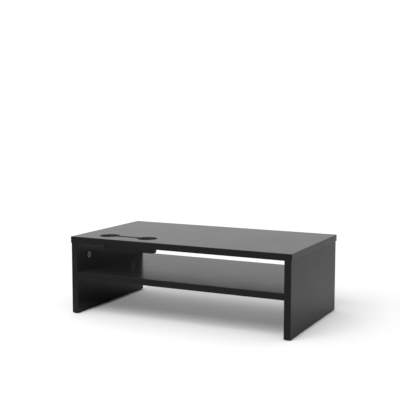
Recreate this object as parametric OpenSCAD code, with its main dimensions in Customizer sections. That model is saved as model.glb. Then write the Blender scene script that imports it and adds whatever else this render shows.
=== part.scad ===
// Two-tier monitor riser stand in 15 mm melamine-faced board.
// A top board lies over two side boards, with one shelf between them, joined by cam locks and dowels.
// Origin: on the desk, under the middle of the top board. +X is right, +Y is back, +Z is up.
// The unit is the millimetre.

/* [Overall size] */
// Width of the top board, left to right
width = 540; // [460:5:700]
// Depth of the top board, front to back
depth = 300; // [240:5:340]
// Height of the top surface above the desk
height = 180; // [165:1:220]

/* [Boards] */
// Thickness of every board
board_t = 15; // [15:0.5:18]
// How far the top stands proud of the side boards at the left, the right and the rear
top_overhang = 1.5; // [0:0.5:5]
// Height of the shelf's underside above the desk
shelf_height = 83; // [60:1:88]

/* [Edge bands] */
// Thickness of the plastic band glued round each visible edge
band_t = 1; // [0.6:0.1:2]

/* [Phone slot] */
// Distance from the top's left end to the middle of the slot
slot_from_left = 124; // [110:1:180]
// Distance from the top's front edge to the slot's centre line
slot_from_front = 50; // [49:1:60]
// Distance between the centres of the two cable holes
cable_hole_spacing = 100; // [90:1:110]
// Diameter of the two cable holes
cable_hole_d = 46; // [30:1:48]
// Width of the narrow part, which the phone stands in
slot_w = 13; // [10:0.5:14]

/* [Phone rest] */
// Length of the batten under the slot
rest_l = 130; // [100:1:150]
// Depth of the batten, front to back
rest_d = 16; // [14:0.5:20]
// Height of the batten
rest_h = 16; // [12:0.5:18]
// Distance from the top's front edge to the batten's front face
rest_from_front = 35; // [33:0.5:36]
// How far the batten's middle stands to the right of the slot's middle
rest_shift = 8; // [0:0.5:10]

/* [Fittings] */
// Distance of the cam locks from the side boards' front and rear edges
fitting_inset = 50; // [35:1:60]
// Distance from a board's end to its cam's axis
cam_setting = 34; // [32:1:36]
// Distance from a cam bolt to the dowel beside it
dowel_pitch = 32; // [25:1:40]

/* [Glide feet] */
// Diameter of the glide feet
glide_d = 14; // [10:0.5:15]
// Thickness of the glide feet
glide_t = 2; // [1.5:0.5:4]

/* [Hidden] */

$fn = 48;
eps = 0.5;                 // how far a cut runs past the face it opens
end_gap = 0.5;             // room past the end of a fitting in its blind hole
left = -1;
right = 1;

// Planes of the boards
front_y = -depth / 2;
rear_y = depth / 2;
side_rear_y = rear_y - top_overhang;
side_depth = side_rear_y - front_y;
side_outer_x = width / 2 - top_overhang;
side_inner_x = side_outer_x - board_t;
side_mid_x = side_outer_x - board_t / 2;
top_under_z = height - board_t;
side_h = top_under_z - glide_t;
shelf_w = 2 * side_inner_x;
half_board = board_t / 2;
band_round = 0.8 * band_t;

// Rows of fittings, front and rear
fitting_front_y = front_y + fitting_inset;
fitting_rear_y = side_rear_y - fitting_inset;
fitting_ys = [fitting_front_y, fitting_rear_y];
dowel_ys = [fitting_front_y + dowel_pitch, fitting_rear_y - dowel_pitch];
cam_z = top_under_z - cam_setting;
shelf_cam_x = side_inner_x - cam_setting;

// Cam lock: a short drum that is turned to draw the bolt's head in
cam_r = 7.5;
cam_pocket_r = 7.55;
cam_pocket_depth = 12.2;
cam_face = -0.2;
cam_floor = -11.9;
cam_chamfer = 0.35;
head_room_h = 7.4;
head_room_lock_r = 4.15;
head_room_entry_r = 5.6;
head_entry_r = 3.8;
neck_slot_h = 5;
recess_l = 6.4;
recess_w = 1.4;
recess_depth = 2.6;
arrow_l = 2.2;
arrow_depth = 0.4;

// Cam bolt: threaded end, collar, shank, neck and head
bolt_bore_r = 4;
thread_hole_r = 3.2;
thread_l = 11;
thread_hole_depth = thread_l + end_gap;
thread_crest_r = 3.15;
thread_root_r = 2.45;
thread_pitch = 1.6;
thread_tip_r = 1.2;
crest_place = 0.35;        // share of a pitch from a ring's start to its crest
collar_r = 3.7;
collar_t = 1.2;
shank_r = 3;
neck_r = 2.2;
neck_start = cam_setting - 8.5;
head_r = 3.5;
head_start = cam_setting - 2;
head_end = cam_setting + 1.5;
head_chamfer = 0.7;

// Dowel
dowel_r = 3.95;
dowel_hole_r = 4;
dowel_in_edge = 20;
dowel_in_face = 10;
dowel_chamfer = 1;
flute_r = 0.4;
flute_count = 8;

// Phone slot and batten
slot_x = -width / 2 + slot_from_left;
slot_y = front_y + slot_from_front;
rest_front_y = front_y + rest_from_front;
rest_screw_y = rest_front_y + 4.2;      // in the solid strip in front of the narrow slot
rest_screw_pitch = 39;
rest_screw_xs = [slot_x - rest_screw_pitch / 2, slot_x + rest_screw_pitch / 2];

// Batten screw
screw_l = 25;
screw_crest_r = 1.6;
screw_root_r = 1.1;
screw_shank_r = 1.45;
screw_head_r = 2.8;
screw_head_h = 1.7;
screw_pitch = 1.4;
screw_thread_start = 8;
screw_hole_r = 1.7;
screw_tip_l = 2.5;
screw_sink = 0.2;          // how far the head lies below the batten's underside
screw_rim = 0.3;           // straight edge of the countersunk head
screw_cross_l = 2.8;
screw_cross_w = 0.7;
screw_cross_depth = 1.1;
head_gap = 0.1;            // room round the head in its countersink

// Glide foot stem
glide_inset = 16;
stem_r = 2.3;
barb_r = 2.5;
stem_hole_r = 2.6;
stem_l = 10;
barb_pitch = 2.5;
barb_l = 1.8;
glide_round = 0.45 * glide_t;
glide_ys = [front_y + glide_inset, side_rear_y - glide_inset];

board_black = [0.17, 0.17, 0.175];
band_black = [0.12, 0.12, 0.125];
zinc = [0.74, 0.75, 0.76];
steel = [0.62, 0.63, 0.65];
beech = [0.80, 0.66, 0.46];

// ---------- Placing helpers ----------

// Puts children in the frame of a side board's cam: the origin on the inner face at the cam's axis,
// +Z out of the face and +X up, towards the board's top end.
module at_side_cam(side, y) {
    translate([side * side_inner_x, y, cam_z])
        rotate([0, -90, side == left ? 180 : 0])
            children();
}

// Puts children in the frame of a shelf cam: the origin on the underside, +Z down out of the face
// and +X towards the nearer end of the shelf.
module at_shelf_cam(side, y) {
    translate([side * shelf_cam_x, y, shelf_height])
        rotate(side == left ? [0, 180, 0] : [180, 0, 0])
            children();
}

// Turns children that run along +Z to run from the board's end at +X back towards the cam.
module along_bolt() {
    translate([cam_setting, 0, -half_board])
        rotate([0, -90, 0])
            children();
}

// ---------- Cuts for the fittings, in a cam's frame ----------

// Pocket for the cam and the bolt's bore from the board's end
module cam_cut() {
    translate([0, 0, -cam_pocket_depth])
        cylinder(r = cam_pocket_r, h = cam_pocket_depth + eps);
    along_bolt()
        translate([0, 0, -eps])
            cylinder(r = bolt_bore_r, h = cam_setting + eps);
}

// Blind hole for the bolt's thread in the board across the joint
module thread_cut() {
    along_bolt()
        translate([0, 0, -thread_hole_depth])
            cylinder(r = thread_hole_r, h = thread_hole_depth + eps);
}

// Holes for a dowel, in the end of one board and the face of the other
module dowel_cut() {
    along_bolt()
        translate([0, 0, -dowel_in_face - end_gap])
            cylinder(r = dowel_hole_r, h = dowel_in_face + dowel_in_edge + 2 * end_gap);
}

// ---------- Repeated pieces ----------

// Spiral room for the bolt's head: tight over the first half turn, widening to the entry
function head_room_radius(a) =
    a <= 180 ? head_room_lock_r
             : head_room_lock_r
               + (head_room_entry_r - head_room_lock_r) * (360 - a) / 180;

module head_room() {
    translate([0, 0, -half_board - head_room_h / 2])
        linear_extrude(head_room_h)
            polygon([for (a = [0:15:345]) head_room_radius(a) * [cos(a), sin(a)]]);
}

// Slot the bolt's neck sweeps through, and the wide mouth its head goes in by
module neck_slot() {
    translate([-cam_r - 1, -cam_r - 1, -half_board - neck_slot_h / 2])
        cube([2 * cam_r + 2, cam_r + 1 + neck_slot_h / 2, neck_slot_h]);
    translate([0, 0, -half_board])
        rotate([0, -90, 0])
            cylinder(r = head_entry_r, h = cam_r + 1);
}

// Cross for the screwdriver, and an arrow that points to the wide mouth
module cam_face_marks() {
    for (turn = [0, 90])
        rotate([0, 0, turn])
            translate([-recess_l / 2, -recess_w / 2, cam_face - recess_depth])
                cube([recess_l, recess_w, recess_depth + eps]);
    translate([0, 0, cam_face - recess_depth])
        cylinder(r1 = recess_w / 2, r2 = recess_w, h = recess_depth);
    translate([-cam_r + 1, 0, cam_face - arrow_depth])
        linear_extrude(arrow_depth + eps)
            polygon([[0, 0], [arrow_l, -arrow_l / 2], [arrow_l, arrow_l / 2]]);
}

module cam() {
    difference() {
        rotate_extrude()
            polygon([
                [0, cam_floor],
                [cam_r - cam_chamfer, cam_floor],
                [cam_r, cam_floor + cam_chamfer],
                [cam_r, cam_face - cam_chamfer],
                [cam_r - cam_chamfer, cam_face],
                [0, cam_face]
            ]);
        head_room();
        neck_slot();
        cam_face_marks();
    }
}

// Outline of a ringed thread from z = a down to z = a - n * pitch: each ring rises steeply to its
// crest and runs back down to the root
function thread_rings(a, n, pitch, root, crest) = [
    for (i = [0:n - 1], at_crest = [true, false])
        at_crest ? [crest, a - (i + crest_place) * pitch] : [root, a - (i + 1) * pitch]
];

bolt_rings = floor(thread_l / thread_pitch);

module cam_bolt() {
    rotate_extrude()
        polygon(concat(
            [
                [0, head_end],
                [head_r - head_chamfer, head_end],
                [head_r, head_end - head_chamfer],
                [head_r, head_start + head_chamfer],
                [head_r - head_chamfer, head_start],
                [neck_r, head_start],
                [neck_r, neck_start],
                [shank_r, neck_start - 1],
                [shank_r, collar_t],
                [collar_r, collar_t],
                [collar_r, 0],
                [thread_root_r, 0]
            ],
            thread_rings(0, bolt_rings, thread_pitch, thread_root_r, thread_crest_r),
            [[thread_tip_r, -thread_l], [0, -thread_l]]
        ));
}

// Fluted dowel along +Z, centred so that z = 0 is the joint between the boards
module dowel() {
    difference() {
        rotate_extrude()
            polygon([
                [0, -dowel_in_face],
                [dowel_r - dowel_chamfer, -dowel_in_face],
                [dowel_r, -dowel_in_face + dowel_chamfer],
                [dowel_r, dowel_in_edge - dowel_chamfer],
                [dowel_r - dowel_chamfer, dowel_in_edge],
                [0, dowel_in_edge]
            ]);
        for (i = [0:flute_count - 1])
            rotate([0, 0, i * 360 / flute_count])
                translate([dowel_r, 0, -dowel_in_face - eps])
                    cylinder(r = flute_r, h = dowel_in_face + dowel_in_edge + 2 * eps, $fn = 24);
    }
}

// Band of the given length along +Z: its outer face is at y = 0 and it spans one board in X
module edge_band(length) {
    linear_extrude(length)
        intersection() {
            square([board_t, band_t]);
            union() {
                translate([0, band_round])
                    square([board_t, band_t]);
                translate([band_round, 0])
                    square([board_t - 2 * band_round, band_t]);
                for (x = [band_round, board_t - band_round])
                    translate([x, band_round])
                        circle(r = band_round, $fn = 32);
            }
        }
}

// Band along +X at the front, with its upper corner at the given point
module front_band(x, y, top_z, length) {
    translate([x, y, top_z])
        rotate([0, 90, 0])
            edge_band(length);
}

// Upright band at the front of a side board
module side_front_band(side) {
    translate([side == left ? -side_outer_x : side_inner_x, front_y, glide_t])
        edge_band(side_h);
}

// Upright band at the rear of a side board
module side_rear_band(side) {
    translate([side == left ? -side_outer_x : side_inner_x, side_rear_y, glide_t])
        mirror([0, 1, 0])
            edge_band(side_h);
}

// Band along the left end of the top, between its front and rear bands
module top_end_band() {
    translate([-width / 2, rear_y - band_t, height])
        rotate([0, 0, -90])
            rotate([0, 90, 0])
                edge_band(depth - 2 * band_t);
}

// Two round cable holes joined by a narrow slot
module phone_slot() {
    for (side = [left, right])
        translate([slot_x + side * cable_hole_spacing / 2, slot_y, top_under_z - eps])
            cylinder(r = cable_hole_d / 2, h = board_t + 2 * eps, $fn = 96);
    translate([slot_x - cable_hole_spacing / 2, slot_y - slot_w / 2, top_under_z - eps])
        cube([cable_hole_spacing, slot_w, board_t + 2 * eps]);
}

// Puts children at each batten screw, with z = 0 at the batten's underside
module at_rest_screws() {
    for (x = rest_screw_xs)
        translate([x, rest_screw_y, top_under_z - rest_h])
            children();
}

screw_rings = floor((screw_l - screw_thread_start - screw_tip_l) / screw_pitch);

// Countersunk screw pointing up, its head's flat face at z = 0
module batten_screw() {
    difference() {
        mirror([0, 0, 1])
            rotate_extrude()
                polygon(concat(
                    [
                        [0, 0],
                        [screw_head_r, 0],
                        [screw_head_r, -screw_rim],
                        [screw_shank_r, -screw_head_h],
                        [screw_shank_r, -screw_thread_start]
                    ],
                    thread_rings(
                        -screw_thread_start, screw_rings, screw_pitch, screw_root_r, screw_crest_r
                    ),
                    [[0, -screw_l]]
                ));
        for (turn = [0, 90])
            rotate([0, 0, turn])
                translate([-screw_cross_l / 2, -screw_cross_w / 2, -eps])
                    cube([screw_cross_l, screw_cross_w, screw_cross_depth + eps]);
    }
}

// Side board with its bands left off, seen in place
module side_panel(side) {
    difference() {
        translate([side == left ? -side_outer_x : side_inner_x, front_y + band_t, glide_t])
            cube([board_t, side_depth - 2 * band_t, side_h]);
        for (y = fitting_ys) {
            at_side_cam(side, y) cam_cut();
            at_shelf_cam(side, y) thread_cut();
        }
        for (y = dowel_ys) {
            at_side_cam(side, y) dowel_cut();
            at_shelf_cam(side, y) dowel_cut();
        }
        for (y = glide_ys)
            translate([side * side_mid_x, y, glide_t - eps])
                cylinder(r = stem_hole_r, h = stem_l + end_gap + eps);
    }
}

// Push-in glide: a disc with a rounded rim and a barbed stem
module glide() {
    rotate_extrude()
        union() {
            square([glide_d / 2 - glide_round, glide_t]);
            translate([0, glide_round])
                square([glide_d / 2, glide_t - glide_round]);
            translate([glide_d / 2 - glide_round, glide_round])
                circle(r = glide_round, $fn = 32);
            square([stem_r, glide_t + stem_l]);
            for (i = [1:3])
                translate([0, glide_t + i * barb_pitch])
                    polygon([[0, 0], [barb_r, 0], [stem_r, barb_l], [0, barb_l]]);
        }
}

// ---------- Boards ----------

module top_panel() {
    color(board_black)
        difference() {
            translate([-width / 2 + band_t, front_y + band_t, top_under_z])
                cube([width - 2 * band_t, depth - 2 * band_t, board_t]);
            phone_slot();
            for (side = [left, right]) {
                for (y = fitting_ys)
                    at_side_cam(side, y) thread_cut();
                for (y = dowel_ys)
                    at_side_cam(side, y) dowel_cut();
            }
            at_rest_screws()
                cylinder(r = screw_hole_r, h = screw_sink + screw_l + end_gap);
        }
}

module left_side_panel() {
    color(board_black) side_panel(left);
}

module right_side_panel() {
    color(board_black) side_panel(right);
}

module shelf_panel() {
    color(board_black)
        difference() {
            translate([-side_inner_x, front_y + band_t, shelf_height])
                cube([shelf_w, side_depth - 2 * band_t, board_t]);
            for (side = [left, right]) {
                for (y = fitting_ys)
                    at_shelf_cam(side, y) cam_cut();
                for (y = dowel_ys)
                    at_shelf_cam(side, y) dowel_cut();
            }
        }
}

// ---------- Edge bands ----------

module top_front_band() {
    color(band_black) front_band(-width / 2, front_y, height, width);
}

module top_rear_band() {
    color(band_black) mirror([0, 1, 0]) front_band(-width / 2, -rear_y, height, width);
}

module top_left_band() {
    color(band_black) top_end_band();
}

module top_right_band() {
    color(band_black) mirror([1, 0, 0]) top_end_band();
}

module left_side_front_band() {
    color(band_black) side_front_band(left);
}

module left_side_rear_band() {
    color(band_black) side_rear_band(left);
}

module right_side_front_band() {
    color(band_black) side_front_band(right);
}

module right_side_rear_band() {
    color(band_black) side_rear_band(right);
}

module shelf_front_band() {
    color(band_black) front_band(-side_inner_x, front_y, shelf_height + board_t, shelf_w);
}

module shelf_rear_band() {
    color(band_black)
        mirror([0, 1, 0])
            front_band(-side_inner_x, -side_rear_y, shelf_height + board_t, shelf_w);
}

// ---------- Phone rest ----------

module phone_rest_batten() {
    color(board_black)
        difference() {
            translate([slot_x + rest_shift - rest_l / 2, rest_front_y, top_under_z - rest_h])
                cube([rest_l, rest_d, rest_h]);
            at_rest_screws() {
                translate([0, 0, -eps])
                    cylinder(r = screw_hole_r, h = rest_h + 2 * eps);
                translate([0, 0, -eps])
                    cylinder(r = screw_head_r + head_gap, h = eps + screw_sink + screw_rim);
                translate([0, 0, screw_sink + screw_rim])
                    cylinder(
                        r1 = screw_head_r + head_gap,
                        r2 = screw_shank_r + head_gap,
                        h = screw_head_h - screw_rim
                    );
            }
        }
}

module phone_rest_screws() {
    color(steel)
        at_rest_screws()
            translate([0, 0, screw_sink])
                batten_screw();
}

// ---------- Fittings ----------

module top_cam_bolts() {
    color(steel)
        for (side = [left, right], y = fitting_ys)
            at_side_cam(side, y) along_bolt() cam_bolt();
}

module shelf_cam_bolts() {
    color(steel)
        for (side = [left, right], y = fitting_ys)
            at_shelf_cam(side, y) along_bolt() cam_bolt();
}

module top_dowels() {
    color(beech)
        for (side = [left, right], y = dowel_ys)
            at_side_cam(side, y) along_bolt() dowel();
}

module shelf_dowels() {
    color(beech)
        for (side = [left, right], y = dowel_ys)
            at_shelf_cam(side, y) along_bolt() dowel();
}

module glide_feet() {
    color(band_black)
        for (side = [left, right], y = glide_ys)
            translate([side * side_mid_x, y, 0])
                glide();
}

module left_front_cam() {
    color(zinc) at_side_cam(left, fitting_front_y) cam();
}

module left_rear_cam() {
    color(zinc) at_side_cam(left, fitting_rear_y) cam();
}

module right_front_cam() {
    color(zinc) at_side_cam(right, fitting_front_y) cam();
}

module right_rear_cam() {
    color(zinc) at_side_cam(right, fitting_rear_y) cam();
}

module shelf_left_front_cam() {
    color(zinc) at_shelf_cam(left, fitting_front_y) cam();
}

module shelf_left_rear_cam() {
    color(zinc) at_shelf_cam(left, fitting_rear_y) cam();
}

module shelf_right_front_cam() {
    color(zinc) at_shelf_cam(right, fitting_front_y) cam();
}

module shelf_right_rear_cam() {
    color(zinc) at_shelf_cam(right, fitting_rear_y) cam();
}

top_panel();
left_side_panel();
right_side_panel();
shelf_panel();
top_front_band();
top_rear_band();
top_left_band();
top_right_band();
left_side_front_band();
left_side_rear_band();
right_side_front_band();
right_side_rear_band();
shelf_front_band();
shelf_rear_band();
phone_rest_batten();
phone_rest_screws();
top_cam_bolts();
shelf_cam_bolts();
top_dowels();
shelf_dowels();
glide_feet();
left_front_cam();
left_rear_cam();
right_front_cam();
right_rear_cam();
shelf_left_front_cam();
shelf_left_rear_cam();
shelf_right_front_cam();
shelf_right_rear_cam();
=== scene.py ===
"""Looks of the monitor riser stand: finishes for every CAD node, a pale studio and the camera.

Every board, band and fitting keeps its CAD shape. This script rounds their edges with modifiers,
gives each a procedural finish, and lights them. Lengths are in metres, in the CAD's own frame.
"""

import math

import bpy
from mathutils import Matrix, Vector


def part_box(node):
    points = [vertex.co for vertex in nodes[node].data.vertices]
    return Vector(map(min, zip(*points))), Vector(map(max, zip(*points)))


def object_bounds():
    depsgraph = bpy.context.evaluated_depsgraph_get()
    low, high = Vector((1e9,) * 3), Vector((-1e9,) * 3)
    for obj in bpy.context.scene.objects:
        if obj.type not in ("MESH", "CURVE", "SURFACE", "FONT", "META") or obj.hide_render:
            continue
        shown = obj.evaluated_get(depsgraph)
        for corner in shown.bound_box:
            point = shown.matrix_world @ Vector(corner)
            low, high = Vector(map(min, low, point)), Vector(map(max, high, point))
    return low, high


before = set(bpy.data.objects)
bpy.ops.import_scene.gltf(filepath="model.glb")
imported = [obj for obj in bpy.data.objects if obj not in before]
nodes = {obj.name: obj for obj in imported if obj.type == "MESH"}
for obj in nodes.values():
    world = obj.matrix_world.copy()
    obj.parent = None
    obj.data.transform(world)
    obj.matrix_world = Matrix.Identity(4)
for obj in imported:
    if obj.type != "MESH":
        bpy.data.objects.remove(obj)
cad_low, cad_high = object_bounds()
MM = 0.001
WHITE = (1.0, 1.0, 1.0)
BACKDROP = 1.05  # strength of the white behind and around the stand
MIX_FACTOR, MIX_A, MIX_B, MIX_RESULT = 0, 6, 7, 2  # sockets of a Mix node that mixes colours


# ---------- Node tree helpers ----------

class Tree:
    """The node tree of a material, a world or a modifier, built up by short calls."""

    def __init__(self, owner):
        if isinstance(owner, bpy.types.NodeTree):
            self.tree = owner
        else:
            owner.use_nodes = True
            self.tree = owner.node_tree
        self.tree.nodes.clear()

    def put(self, socket, value):
        """Sets an input, or links it when the value is another node's output."""
        if isinstance(value, bpy.types.NodeSocket):
            self.tree.links.new(value, socket)
        elif hasattr(socket, "default_value"):
            if socket.type == "RGBA" and len(value) == 3:
                value = (*value, 1.0)
            socket.default_value = value

    def add(self, kind, inputs=None, **settings):
        node = self.tree.nodes.new(kind)
        for name, value in settings.items():
            setattr(node, name, value)
        for key, value in (inputs or {}).items():
            self.put(node.inputs[key], value)
        return node

    def math(self, operation, a, b=0.0, c=0.0):
        return self.add("ShaderNodeMath", {0: a, 1: b, 2: c}, operation=operation).outputs[0]

    def vector(self, operation, a, b=(0, 0, 0)):
        node = self.add("ShaderNodeVectorMath", {0: a, 1: b}, operation=operation)
        is_number = operation in {"DOT_PRODUCT", "LENGTH"}
        return node.outputs["Value" if is_number else "Vector"]

    def remap(self, value, low, high, to_low=0.0, to_high=1.0):
        """Value from low..high to to_low..to_high, clamped, with soft ends."""
        node = self.add(
            "ShaderNodeMapRange",
            {
                "Value": value,
                "From Min": low,
                "From Max": high,
                "To Min": to_low,
                "To Max": to_high,
            },
            interpolation_type="SMOOTHSTEP",
        )
        return node.outputs["Result"]

    def mix(self, factor, a, b):
        """Colour between a and b."""
        inputs = {MIX_FACTOR: factor, MIX_A: a, MIX_B: b}
        node = self.add("ShaderNodeMix", data_type="RGBA")
        for index, value in inputs.items():
            self.put(node.inputs[index], value)
        return node.outputs[MIX_RESULT]

    def blend(self, factor, a, b):
        """Number between a and b."""
        return self.math("ADD", a, self.math("MULTIPLY", factor, self.math("SUBTRACT", b, a)))

    def wander(self, middle, noise, swing):
        """A number that wanders about its middle with the noise, by up to half the swing."""
        offset = self.math("SUBTRACT", noise, 0.5)
        return self.math("ADD", middle, self.math("MULTIPLY", offset, swing))

    def shaders(self, factor, a, b):
        """Shader between a and b."""
        return self.add("ShaderNodeMixShader", {0: factor, 1: a, 2: b}).outputs[0]

    def noise(self, vector, scale, detail=3.0, roughness=0.55, distortion=0.0):
        """Noise about 0.5, whose features are about 1 / scale metres across."""
        node = self.add(
            "ShaderNodeTexNoise",
            {
                "Vector": vector,
                "Scale": scale,
                "Detail": detail,
                "Roughness": roughness,
                "Distortion": distortion,
            },
        )
        return node.outputs["Fac"]

    def cells(self, vector, scale, feature="F1", output="Distance"):
        """Packed cells, each about 1 / scale metres across."""
        inputs = {"Vector": vector, "Scale": scale}
        return self.add("ShaderNodeTexVoronoi", inputs, feature=feature).outputs[output]

    def stretch(self, vector, scale):
        return self.vector("MULTIPLY", vector, scale)

    def bump(self, height, distance, strength):
        inputs = {"Height": height, "Distance": distance, "Strength": strength}
        return self.add("ShaderNodeBump", inputs).outputs[0]

    def place(self, shift=(0, 0, 0)):
        """The point in the CAD frame, moved so that two boards don't repeat one pattern."""
        point = self.add("ShaderNodeTexCoord").outputs["Object"]
        return self.vector("ADD", point, shift)

    def component(self, vector, axis):
        return self.add("ShaderNodeSeparateXYZ", {0: vector}).outputs["XYZ".index(axis)]

    def edge_wear(self, radius):
        """0 on flat faces, rising to 1 on an arris that is sharper than the radius."""
        rounded = self.add("ShaderNodeBevel", {"Radius": radius}, samples=4).outputs[0]
        true = self.add("ShaderNodeNewGeometry").outputs["Normal"]
        return self.remap(self.vector("DOT_PRODUCT", rounded, true), 0.985, 0.85)

    def recess_shade_mask(self, reach):
        """Ambient-occlusion mask for painted shade: 0 in the open, rising to 1 deep in a recess.
        """
        node = self.add("ShaderNodeAmbientOcclusion", {"Distance": reach}, samples=6)
        return self.remap(node.outputs["AO"], 0.9, 0.35)

    def surface(self, **inputs):
        """A Principled shader, with short names for its inputs."""
        shader = self.add("ShaderNodeBsdfPrincipled")
        names = {
            "color": "Base Color",
            "metallic": "Metallic",
            "rough": "Roughness",
            "ior": "IOR",
            "specular": "Specular IOR Level",
            "normal": "Normal",
        }
        for key, value in inputs.items():
            self.put(shader.inputs[names[key]], value)
        return shader.outputs[0]

    def output(self, shader):
        self.add("ShaderNodeOutputMaterial", {"Surface": shader})


# ---------- Finishes ----------

MELAMINE = (0.0115, 0.0115, 0.012)
MELAMINE_WORN = (0.030, 0.030, 0.031)
PAPER_DUST = (0.055, 0.054, 0.052)
GLOSS_SHARE = 0.62  # share of a face that is smooth resin; the rest is dull paper in its pores
SKIN = 0.3 * MM  # the sawn core shows from this far under a board's face
CHIP_LIGHT = (0.46, 0.33, 0.20)
CHIP_DARK = (0.19, 0.115, 0.06)
CHIPS_PER_METRE = 520.0
CHIP_SQUASH = (1.0, 1.0, 1.7)  # chips lie flat in the board
EDGE_PAINT = (0.027, 0.027, 0.028)
BAND_DARK = (0.0065, 0.0065, 0.0068)
BAND_LIGHT = (0.0110, 0.0110, 0.0114)
BAND_WORN = (0.040, 0.040, 0.041)
ZINC_DARK = (0.24, 0.24, 0.25)
ZINC_LIGHT = (0.40, 0.40, 0.41)
ZINC_WORN = (0.62, 0.62, 0.62)
# The next dark zinc tone is painted shade for the cam's recesses.
ZINC_RECESS_SHADE = (0.07, 0.065, 0.06)
PLATE_COOL = (0.60, 0.62, 0.64)
# The next dark plate tone is painted shade for the plated recesses.
PLATE_RECESS_SHADE = (0.09, 0.085, 0.08)
BEECH_DARK = (0.50, 0.33, 0.18)
BEECH_LIGHT = (0.72, 0.53, 0.33)
BEECH_FLECK = (0.30, 0.17, 0.09)
GLIDE_DARK = (0.012, 0.012, 0.012)
GLIDE_LIGHT = (0.022, 0.022, 0.022)
GLIDE_SCUFF = (0.09, 0.09, 0.088)


def melamine_face(t, point):
    """Satin black melamine: a fine pressed pebble, faint fibre clouds, smudges and some dust."""
    clouds = t.noise(point, 9, detail=4)
    fibres = t.noise(t.stretch(point, (1.0, 0.35, 1.0)), 900, detail=2)
    pebble = t.cells(point, 1500)
    fine = t.noise(point, 5200, detail=2)
    smudge = t.noise(point, 17, detail=5, roughness=0.62, distortion=0.6)
    dust = t.remap(t.noise(point, 2600, detail=1), 0.70, 0.80)
    dust = t.math("MULTIPLY", dust, t.remap(clouds, 0.35, 0.75, 0.15, 0.7))
    tone = t.mix(t.remap(fibres, 0.3, 0.7), MELAMINE, tuple(1.35 * c for c in MELAMINE))
    tone = t.mix(t.math("MULTIPLY", dust, 0.5), tone, PAPER_DUST)
    wear = t.edge_wear(0.5 * MM)
    wear = t.math("MULTIPLY", wear, t.remap(t.noise(point, 420, detail=3), 0.35, 0.7, 0.2, 0.9))
    tone = t.mix(wear, tone, MELAMINE_WORN)
    rough = t.wander(t.wander(0.205, smudge, 0.10), fibres, 0.05)
    rough = t.blend(wear, rough, 0.42)
    relief = t.math("ADD", t.math("MULTIPLY", pebble, 0.7), t.math("MULTIPLY", fine, 0.3))
    normal = t.bump(relief, 0.016 * MM, 0.60)
    glossy = t.surface(color=tone, rough=rough, ior=1.47, normal=normal)
    dull = t.surface(color=tone, rough=0.75, ior=1.30, specular=0.25, normal=normal)
    return t.shaders(t.wander(GLOSS_SHARE, clouds, 0.06), dull, glossy)


def chip_core(t, point):
    """Sawn particle board: packed chips of several tones with dark glue and open pores."""
    warped = t.vector("ADD", point, t.stretch(
        t.add("ShaderNodeTexNoise", {"Vector": point, "Scale": 300.0}).outputs["Color"],
        (0.0022, 0.0022, 0.0022),
    ))
    flat = t.stretch(warped, CHIP_SQUASH)
    shade = t.component(t.cells(flat, CHIPS_PER_METRE, output="Color"), "X")
    grain = t.noise(t.stretch(point, (1.0, 1.0, 4.0)), 1700, detail=4)
    tone = t.mix(t.remap(shade, 0.1, 0.9), CHIP_DARK, CHIP_LIGHT)
    tone = t.mix(t.remap(grain, 0.35, 0.75, 0.0, 0.55), tone, CHIP_LIGHT)
    gap = t.cells(flat, CHIPS_PER_METRE, feature="DISTANCE_TO_EDGE")
    pores = t.remap(gap, 0.0, 0.12, 1.0, 0.0)
    tone = t.mix(t.math("MULTIPLY", pores, 0.75), tone, tuple(0.35 * c for c in CHIP_DARK))
    relief = t.math("SUBTRACT", t.math("MULTIPLY", grain, 0.6), pores)
    normal = t.bump(relief, 0.12 * MM, 0.8)
    return t.surface(color=tone, rough=0.82, ior=1.42, specular=0.3, normal=normal)


def painted_core(t, point):
    """Routed board sealed with black paint, with the chips just telling through."""
    flat = t.stretch(point, CHIP_SQUASH)
    dips = t.remap(t.cells(flat, CHIPS_PER_METRE, feature="DISTANCE_TO_EDGE"), 0.0, 0.15)
    tone = t.mix(t.noise(point, 700), EDGE_PAINT, tuple(1.8 * c for c in EDGE_PAINT))
    normal = t.bump(dips, 0.06 * MM, 0.6)
    return t.surface(color=tone, rough=0.5, ior=1.45, normal=normal)


def board_material(node_name, axis, painted=None):
    """Melamine on the two faces across the axis, and sawn core wherever the board is cut.

    painted is the (lowest, highest) corner of a box in which the cut core is painted black."""
    low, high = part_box(node_name)
    material = bpy.data.materials.new(f"melamine_{node_name}")
    t = Tree(material)
    index = "XYZ".index(axis)
    shift = (0.37 * len(node_name), 0.11 * index, 0.53 * low[index])
    point = t.place(shift)
    true_point = t.place()
    across = t.component(true_point, axis)
    normal = t.add("ShaderNodeNewGeometry").outputs["Normal"]
    facing = t.math("ABSOLUTE", t.component(normal, axis))
    near_low = t.math("LESS_THAN", across, low[index] + SKIN)
    near_high = t.math("GREATER_THAN", across, high[index] - SKIN)
    near = t.math("MAXIMUM", near_low, near_high)
    on_face = t.math("MULTIPLY", near, t.math("GREATER_THAN", facing, 0.4))
    cut = chip_core(t, point)
    if painted is not None:
        inside = 1.0
        for name, lowest, highest in zip("XYZ", *painted):
            value = t.component(true_point, name)
            inside = t.math("MULTIPLY", inside, t.math("GREATER_THAN", value, lowest))
            inside = t.math("MULTIPLY", inside, t.math("LESS_THAN", value, highest))
        cut = t.shaders(inside, cut, painted_core(t, point))
    t.output(t.shaders(on_face, cut, melamine_face(t, point)))
    return material


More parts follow.
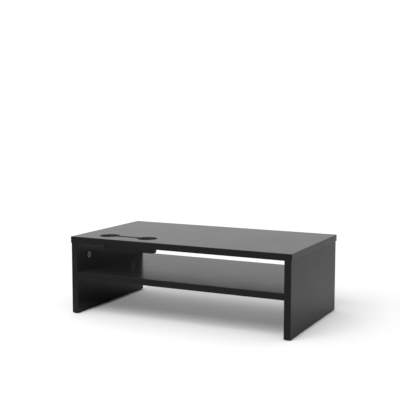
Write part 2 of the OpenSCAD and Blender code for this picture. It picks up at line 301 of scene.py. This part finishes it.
def band_material(node_name):
    """Extruded black edge band: fine lines along its length, paler where its arris is rubbed."""
    low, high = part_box(node_name)
    size = high - low
    along = max(range(3), key=lambda i: size[i])
    material = bpy.data.materials.new(f"band_{node_name}")
    t = Tree(material)
    point = t.place((0.21 * len(node_name), 0.4 * along, 0.0))
    squeeze = [1.0, 1.0, 1.0]
    squeeze[along] = 0.012
    lines = t.noise(t.stretch(point, tuple(squeeze)), 3800, detail=3)
    grain = t.noise(point, 4200, detail=2)
    smudge = t.noise(point, 22, detail=4, distortion=0.4)
    wear = t.edge_wear(0.45 * MM)
    wear = t.math("MULTIPLY", wear, t.remap(t.noise(point, 260, detail=4), 0.38, 0.68, 0.15, 1.0))
    tone = t.mix(lines, BAND_DARK, BAND_LIGHT)
    tone = t.mix(wear, tone, BAND_WORN)
    rough = t.wander(t.wander(0.33, smudge, 0.14), lines, 0.10)
    relief = t.math("ADD", t.math("MULTIPLY", lines, 0.7), t.math("MULTIPLY", grain, 0.3))
    normal = t.bump(relief, 0.010 * MM, 0.7)
    t.output(t.surface(color=tone, rough=rough, ior=1.45, specular=0.42, normal=normal))
    return material


def cam_material():
    """Die-cast zinc, tumbled: a soft mottle, bright rubbed edges and painted shade in the cross
    recess.
    """
    material = bpy.data.materials.new("die_cast_zinc")
    t = Tree(material)
    point = t.place()
    mottle = t.noise(point, 900, detail=5, roughness=0.65)
    pits = t.cells(point, 2600)
    scratches = t.noise(t.stretch(point, (1.0, 0.08, 1.0)), 5200, detail=2)
    wear = t.edge_wear(0.25 * MM)
    shade_in_recess = t.recess_shade_mask(2.0 * MM)
    tone = t.mix(mottle, ZINC_DARK, ZINC_LIGHT)
    tone = t.mix(wear, tone, ZINC_WORN)
    # Painted shade: the zinc darkens deep in the cross recess, found by ambient occlusion; the
    # recess is also made rougher below.
    tone = t.mix(t.math("MULTIPLY", shade_in_recess, 0.85), tone, ZINC_RECESS_SHADE)
    rough = t.remap(mottle, 0.3, 0.7, 0.28, 0.46)
    rough = t.blend(shade_in_recess, rough, 0.7)
    relief = t.math("ADD", t.math("MULTIPLY", pits, 0.5), t.math("MULTIPLY", scratches, 0.5))
    normal = t.bump(relief, 0.015 * MM, 0.6)
    t.output(t.surface(color=tone, metallic=1.0, rough=rough, normal=normal))
    return material


def plated_material(name, warm):
    """Bright zinc-plated steel: drawn lines, a faint tint in the plate and painted shade in its
    recesses.

    warm is how much blue the tint takes away."""
    material = bpy.data.materials.new(name)
    t = Tree(material)
    point = t.place()
    tint = t.noise(point, 240, detail=3)
    lines = t.noise(t.stretch(point, (1.0, 1.0, 0.15)), 6000, detail=2)
    shade_in_recess = t.recess_shade_mask(1.2 * MM)
    tone = t.mix(t.remap(tint, 0.35, 0.65), PLATE_COOL, (0.66, 0.63, 0.66 - warm))
    # Painted shade: the plate darkens deep in its recesses, found by ambient occlusion.
    tone = t.mix(t.math("MULTIPLY", shade_in_recess, 0.8), tone, PLATE_RECESS_SHADE)
    rough = t.remap(lines, 0.3, 0.7, 0.20, 0.36)
    normal = t.bump(lines, 0.006 * MM, 0.6)
    t.output(t.surface(color=tone, metallic=1.0, rough=rough, normal=normal))
    return material


def beech_material():
    """Dry beech: long pale grain with short darker flecks."""
    material = bpy.data.materials.new("turned_beech")
    t = Tree(material)
    point = t.place()
    grain = t.noise(t.stretch(point, (0.25, 1.0, 0.25)), 1100, detail=5, distortion=0.5)
    flecks = t.remap(t.noise(t.stretch(point, (0.3, 1.0, 0.3)), 2900, detail=1), 0.62, 0.72)
    tone = t.mix(grain, BEECH_DARK, BEECH_LIGHT)
    tone = t.mix(t.math("MULTIPLY", flecks, 0.6), tone, BEECH_FLECK)
    normal = t.bump(grain, 0.05 * MM, 0.6)
    t.output(t.surface(color=tone, rough=0.68, ior=1.45, specular=0.35, normal=normal))
    return material


def glide_material():
    """Moulded black plastic, scuffed on its foot."""
    material = bpy.data.materials.new("moulded_glide")
    t = Tree(material)
    point = t.place()
    spark = t.noise(point, 4200, detail=2)
    scuff = t.remap(t.component(point, "Z"), 0.1 * MM, 0.9 * MM, 1.0, 0.0)
    scuff = t.math("MULTIPLY", scuff, t.remap(t.noise(point, 1500, detail=3), 0.4, 0.65))
    tone = t.mix(spark, GLIDE_DARK, GLIDE_LIGHT)
    tone = t.mix(t.math("MULTIPLY", scuff, 0.7), tone, GLIDE_SCUFF)
    normal = t.bump(spark, 0.02 * MM, 0.8)
    t.output(t.surface(color=tone, rough=t.blend(scuff, 0.48, 0.7), ior=1.46, normal=normal))
    return material


# ---------- Finishing the CAD nodes ----------

SHARP_ANGLE = math.radians(35)  # an edge that turns by more is a real corner
FLAT_ANGLE = math.radians(0.5)  # faces that meet within this angle are joined into one
ON_BOX = 0.01 * MM  # an edge this near to a side of its node's box is an outer edge
ROUND_BOARD = 0.25 * MM
ROUND_BAND = 0.08 * MM
ROUND_CAM = 0.08 * MM


def edge_marker(name, rounded):
    """Node group that picks a node's sharp edges: those on its outer faces to be rounded, if
    wanted, and all the others to be shaded as creases."""
    low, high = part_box(name)
    group = bpy.data.node_groups.new(f"edges_{name}", "GeometryNodeTree")
    group.interface.new_socket("Geometry", in_out="INPUT", socket_type="NodeSocketGeometry")
    group.interface.new_socket("Geometry", in_out="OUTPUT", socket_type="NodeSocketGeometry")
    t = Tree(group)
    angle = t.add("GeometryNodeInputMeshEdgeAngle").outputs["Unsigned Angle"]
    sharp = t.math("GREATER_THAN", angle, SHARP_ANGLE)
    point = t.add("GeometryNodeInputPosition").outputs[0]
    above = t.vector("ABSOLUTE", t.vector("SUBTRACT", point, low))
    below = t.vector("ABSOLUTE", t.vector("SUBTRACT", point, high))
    gap = t.vector("MINIMUM", above, below)
    nearest = t.math("MINIMUM", t.component(gap, "X"), t.component(gap, "Y"))
    nearest = t.math("MINIMUM", nearest, t.component(gap, "Z"))
    outer = t.math("LESS_THAN", nearest, ON_BOX)
    arris = t.math("MULTIPLY", t.math("MULTIPLY", sharp, outer), 1.0 if rounded else 0.0)
    crease = t.math("SUBTRACT", sharp, arris)
    mesh = t.add("NodeGroupInput").outputs[0]
    plain = t.add("GeometryNodeRemoveAttribute", {"Geometry": mesh, "Name": "custom_normal"})
    smooth = t.add(
        "GeometryNodeSetShadeSmooth",
        {"Geometry": plain.outputs[0], "Shade Smooth": True},
    )
    creased = t.add(
        "GeometryNodeSetShadeSmooth",
        {"Geometry": smooth.outputs[0], "Selection": crease, "Shade Smooth": False},
        domain="EDGE",
    )
    weighed = t.add(
        "GeometryNodeStoreNamedAttribute",
        {"Geometry": creased.outputs[0], "Name": "bevel_weight_edge", "Value": arris},
        domain="EDGE",
    )
    t.add("NodeGroupOutput", {0: weighed.outputs[0]})
    return group


def finish_node(name, material, rounding=0.0):
    """Gives a CAD node its finish, and rounds its outer edges without touching its mesh."""
    node = nodes[name]
    slot = node.material_slots[0]
    slot.link = "OBJECT"
    slot.material = material
    weld = node.modifiers.new("join_faces", "WELD")
    weld.merge_threshold = 0.002 * MM
    if rounding:
        merge = node.modifiers.new("merge_flat_faces", "DECIMATE")
        merge.decimate_type = "DISSOLVE"
        merge.angle_limit = FLAT_ANGLE
    marker = node.modifiers.new("mark_edges", "NODES")
    marker.node_group = edge_marker(name, rounded=rounding > 0)
    if rounding:
        bevel = node.modifiers.new("round_edges", "BEVEL")
        bevel.width = rounding
        bevel.segments = 3
        bevel.limit_method = "WEIGHT"
        bevel.use_clamp_overlap = False
        bevel.loop_slide = False
        shade = node.modifiers.new("keep_faces_flat", "WEIGHTED_NORMAL")
        shade.weight = 100
        shade.keep_sharp = True


def finish_boards():
    slot_low, slot_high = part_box("phone_rest_batten")
    reach = 30 * MM
    slot_room = (
        (slot_low.x - reach, slot_low.y - reach, cad_low.z),
        (slot_high.x + reach, slot_high.y + reach, cad_high.z + reach),
    )
    boards = {
        "top_panel": ("Z", slot_room),
        "shelf_panel": ("Z", None),
        "left_side_panel": ("X", None),
        "right_side_panel": ("X", None),
        "phone_rest_batten": ("Z", slot_room),
    }
    for name, (axis, painted) in boards.items():
        finish_node(name, board_material(name, axis, painted), rounding=ROUND_BOARD)


def finish_bands():
    for name in nodes:
        if name.endswith("_band"):
            finish_node(name, band_material(name), rounding=ROUND_BAND)


def finish_fittings():
    zinc = cam_material()
    steel = plated_material("plated_bolt", 0.10)
    screw = plated_material("plated_screw", 0.02)
    beech = beech_material()
    glide = glide_material()
    for name in nodes:
        if name.endswith("_cam"):
            finish_node(name, zinc, rounding=ROUND_CAM)
        elif name.endswith("_cam_bolts"):
            finish_node(name, steel)
        elif name.endswith("_dowels"):
            finish_node(name, beech)
    finish_node("phone_rest_screws", screw)
    finish_node("glide_feet", glide)


# ---------- Studio ----------

SHADOW_LIFT = 0.18  # painted light: how far the floor's shadow is opened up by a white glow, as a share of white
CONTACT_REACH = 12 * MM  # the shadow stays deep this near to a side board
FLOOR_HALF = 12.0
FLOOR_GREYS = ((0.86, 0.86, 0.86), (0.88, 0.88, 0.88))


def studio_level(t, direction):
    """Brightness of the studio in a direction: fullest at the back left, low behind the camera."""
    sideways = t.math("MULTIPLY_ADD", t.component(direction, "X"), -0.25, 0.87)
    behind = t.remap(t.component(direction, "Y"), -0.6, 0.5, 0.22, 1.0)
    return t.math("MULTIPLY", sideways, behind)


def build_world():
    """White to the camera; to everything else a soft studio with a bright ceiling."""
    world = bpy.data.worlds.new("studio")
    bpy.context.scene.world = world
    t = Tree(world)
    direction = t.add("ShaderNodeTexCoord").outputs["Generated"]
    ceiling = t.remap(t.component(direction, "Z"), 0.25, 0.95)
    level = t.blend(ceiling, studio_level(t, direction), 0.90)
    studio = t.add("ShaderNodeBackground", {"Color": WHITE, "Strength": level})
    seen = t.add("ShaderNodeBackground", {"Color": WHITE, "Strength": BACKDROP})
    to_camera = t.add("ShaderNodeLightPath").outputs["Is Camera Ray"]
    mixed = t.shaders(to_camera, studio.outputs[0], seen.outputs[0])
    t.add("ShaderNodeOutputWorld", {"Surface": mixed})


def beside_boards(t, point):
    """0 on the floor under a side board, rising to 1 a short way from it."""
    low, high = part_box("right_side_panel")
    middle, half = (low + high) / 2, (high - low) / 2
    past_x = t.math("SUBTRACT", t.math("ABSOLUTE", t.component(point, "X")), middle.x)
    past_x = t.math("SUBTRACT", t.math("ABSOLUTE", past_x), half.x)
    past_y = t.math("SUBTRACT", t.math("ABSOLUTE", t.component(point, "Y")), half.y)
    gap = t.math("MAXIMUM", past_x, past_y)
    return t.remap(gap, 0.0, CONTACT_REACH)


def build_floor():
    """A wide pale matt floor that fades into the white backdrop away from the stand."""
    mesh = bpy.data.meshes.new("floor")
    signs = ((-1, -1), (1, -1), (1, 1), (-1, 1))
    corners = [(FLOOR_HALF * x, FLOOR_HALF * y, 0) for x, y in signs]
    mesh.from_pydata(corners, [], [(0, 1, 2, 3)])
    floor = bpy.data.objects.new("floor", mesh)
    bpy.context.scene.collection.objects.link(floor)
    material = bpy.data.materials.new("pale_floor")
    t = Tree(material)
    point = t.place()
    half_stand = (cad_high - cad_low) / 2
    past = t.vector("SUBTRACT", t.vector("ABSOLUTE", point), (half_stand.x, half_stand.y, 0))
    away = t.vector("LENGTH", t.vector("MAXIMUM", past, (0, 0, 0)))
    tone = t.mix(t.noise(point, 3.0), *FLOOR_GREYS)
    matt = t.surface(color=tone, rough=0.85, ior=1.3, specular=0.1)
    # Painted light: to the camera the floor is mixed with a white glow that lightens its shadow.
    white = t.add("ShaderNodeEmission", {"Color": WHITE, "Strength": BACKDROP}).outputs[0]
    # The glow is SHADOW_LIFT of white by the stand and all of it far away; beside the side boards
    # there is none.
    share = t.remap(away, 0.05, 0.45, SHADOW_LIFT, 1.0)
    share = t.math("MULTIPLY", share, beside_boards(t, point))
    seen = t.shaders(share, matt, white)
    # Painted shade: to reflections and bounced light the floor is darker towards the front, 0.28
    # of its tone there, 0.80 behind the stand.
    painted_shade_level = t.remap(t.component(point, "Y"), -0.5, 0.3, 0.28, 0.80)
    reflected = t.surface(color=t.mix(painted_shade_level, (0, 0, 0), tone), rough=0.85, ior=1.3, specular=0.1)
    to_camera = t.add("ShaderNodeLightPath").outputs["Is Camera Ray"]
    t.output(t.shaders(to_camera, reflected, seen))
    floor.data.materials.append(material)


def soft_light(name, place, target, size, watts):
    """A rectangular lamp at a place, turned to a target."""
    lamp = bpy.data.lights.new(name, "AREA")
    lamp.shape = "RECTANGLE"
    lamp.size, lamp.size_y = size
    lamp.energy = watts
    light = bpy.data.objects.new(name, lamp)
    light.location = place
    light.rotation_euler = (Vector(target) - Vector(place)).to_track_quat("-Z", "Y").to_euler()
    bpy.context.scene.collection.objects.link(light)


def build_lights():
    middle = (cad_low + cad_high) / 2
    soft_light("overhead", (-0.1, -1.2, 1.5), middle, (1.4, 1.2), 26)


def build_camera():
    """At the front right, a little above the top board and level, as in a shop picture."""
    yaw, pitch = 0.46230, 0.10791
    camera = bpy.data.cameras.new("camera")
    camera.sensor_width = 36.0
    camera.lens = 75.051  # millimetres
    camera.clip_start, camera.clip_end = 0.05, 60.0
    seat = bpy.data.objects.new("camera", camera)
    seat.location = (0.84449, -1.71927, 0.47015)
    seat.rotation_euler = (math.pi / 2 - pitch, 0.0, yaw)
    bpy.context.scene.collection.objects.link(seat)
    bpy.context.scene.camera = seat


def set_tones():
    """Plain tones, so that white paper is white and the black boards stay black."""
    view = bpy.context.scene.view_settings
    view.view_transform = "Standard"
    view.look = "None"
    view.exposure = 0.0
    view.gamma = 1.0


finish_boards()
finish_bands()
finish_fittings()
build_world()
build_floor()
build_lights()
build_camera()
set_tones()
